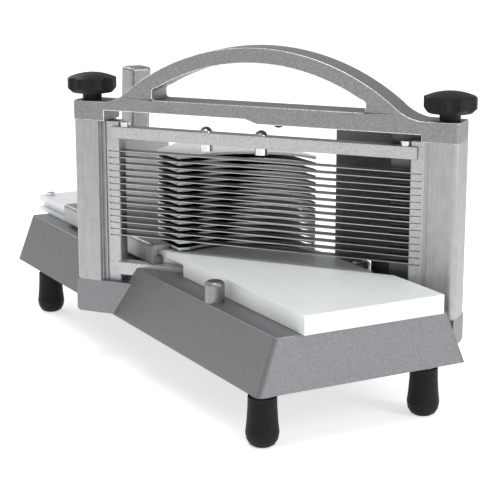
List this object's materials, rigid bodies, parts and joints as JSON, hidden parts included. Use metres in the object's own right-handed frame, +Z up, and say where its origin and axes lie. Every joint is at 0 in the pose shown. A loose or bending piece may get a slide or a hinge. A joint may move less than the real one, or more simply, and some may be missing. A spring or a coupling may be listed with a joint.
{
  "type": "tomato slicer",
  "caption": "Push-through tomato slicer: long cast base on rubber feet, skewed blade cassette under an arched clamp with two knobs, finned sliding pusher, white slide boards.",
  "frame": {"origin": "on the bench under the middle of the bounding box", "axes": "+Z up, +Y along the base from the outlet end towards the loading end, +X to the right seen from the outlet end"},
  "size_m": [0.198, 0.44, 0.24],
  "materials": {
    "cast_base": "sand-cast aluminium, satin",
    "cast_arch": "cast aluminium, tumbled",
    "extruded_aluminium": "satin",
    "milled_aluminium": "milled, bright",
    "blade_steel": "ground",
    "fin_aluminium": "brushed",
    "cast_pusher": "cast, satin",
    "polished_aluminium": "polished",
    "black_rubber": "satin",
    "black_plastic": "satin",
    "white_board": "satin",
    "guard_steel": "polished",
    "bright_steel": "polished"
  },
  "bodies": {
    "base": {"arch_bumper": "black_rubber", "arch_handle": "cast_arch", "base_casting": "cast_base", "blade_01": "blade_steel", "blade_02": "blade_steel", "blade_03": "blade_steel", "blade_04": "blade_steel", "blade_05": "blade_steel", "blade_06": "blade_steel", "blade_07": "blade_steel", "blade_08": "blade_steel", "blade_09": "blade_steel", "blade_10": "blade_steel", "blade_11": "blade_steel", "blade_12": "blade_steel", "blade_13": "blade_steel", "blade_14": "blade_steel", "blade_pins": "bright_steel", "board_screws": "bright_steel", "cassette_bottom_bar": "milled_aluminium", "cassette_screws": "bright_steel", "cassette_side_bar_left": "milled_aluminium", "cassette_side_bar_right": "milled_aluminium", "cassette_top_bar": "milled_aluminium", "front_board": "white_board", "guard_screws": "bright_steel", "rear_board": "white_board", "rubber_foot_front_left": "black_rubber", "rubber_foot_front_right": "black_rubber", "rubber_foot_rear_left": "black_rubber", "rubber_foot_rear_right": "black_rubber", "side_guard": "guard_steel", "stop_posts": "bright_steel", "upright_left": "extruded_aluminium", "upright_right": "extruded_aluminium"},
    "pusher": {"fin_01": "fin_aluminium", "fin_02": "fin_aluminium", "fin_03": "fin_aluminium", "fin_04": "fin_aluminium", "fin_05": "fin_aluminium", "fin_06": "fin_aluminium", "fin_07": "fin_aluminium", "fin_08": "fin_aluminium", "fin_09": "fin_aluminium", "fin_10": "fin_aluminium", "fin_11": "fin_aluminium", "fin_12": "fin_aluminium", "fin_13": "fin_aluminium", "fin_14": "fin_aluminium", "fin_15": "fin_aluminium", "fin_rod_nuts": "bright_steel", "fin_rods": "bright_steel", "fin_spacers": "bright_steel", "pusher_carriage": "cast_pusher", "pusher_handle": "polished_aluminium"},
    "knob_left": {"knob_left": "black_plastic", "knob_stud_left": "bright_steel"},
    "knob_right": {"knob_right": "black_plastic", "knob_stud_right": "bright_steel"}
  },
  "joints": [
    {"name": "pusher_slide", "type": "slide", "parent": "base", "child": "pusher", "axis": [0, 1, 0], "range_m": [-0.094, 0.059]},
    {"name": "knob_left_turn", "type": "hinge", "parent": "base", "child": "knob_left", "pos_m": [-0.0813, 0.02442, 0.209], "axis": [0, 0, 1], "continuous": true},
    {"name": "knob_right_turn", "type": "hinge", "parent": "base", "child": "knob_right", "pos_m": [0.0813, -0.18862, 0.209], "axis": [0, 0, 1], "continuous": true}
  ]
}
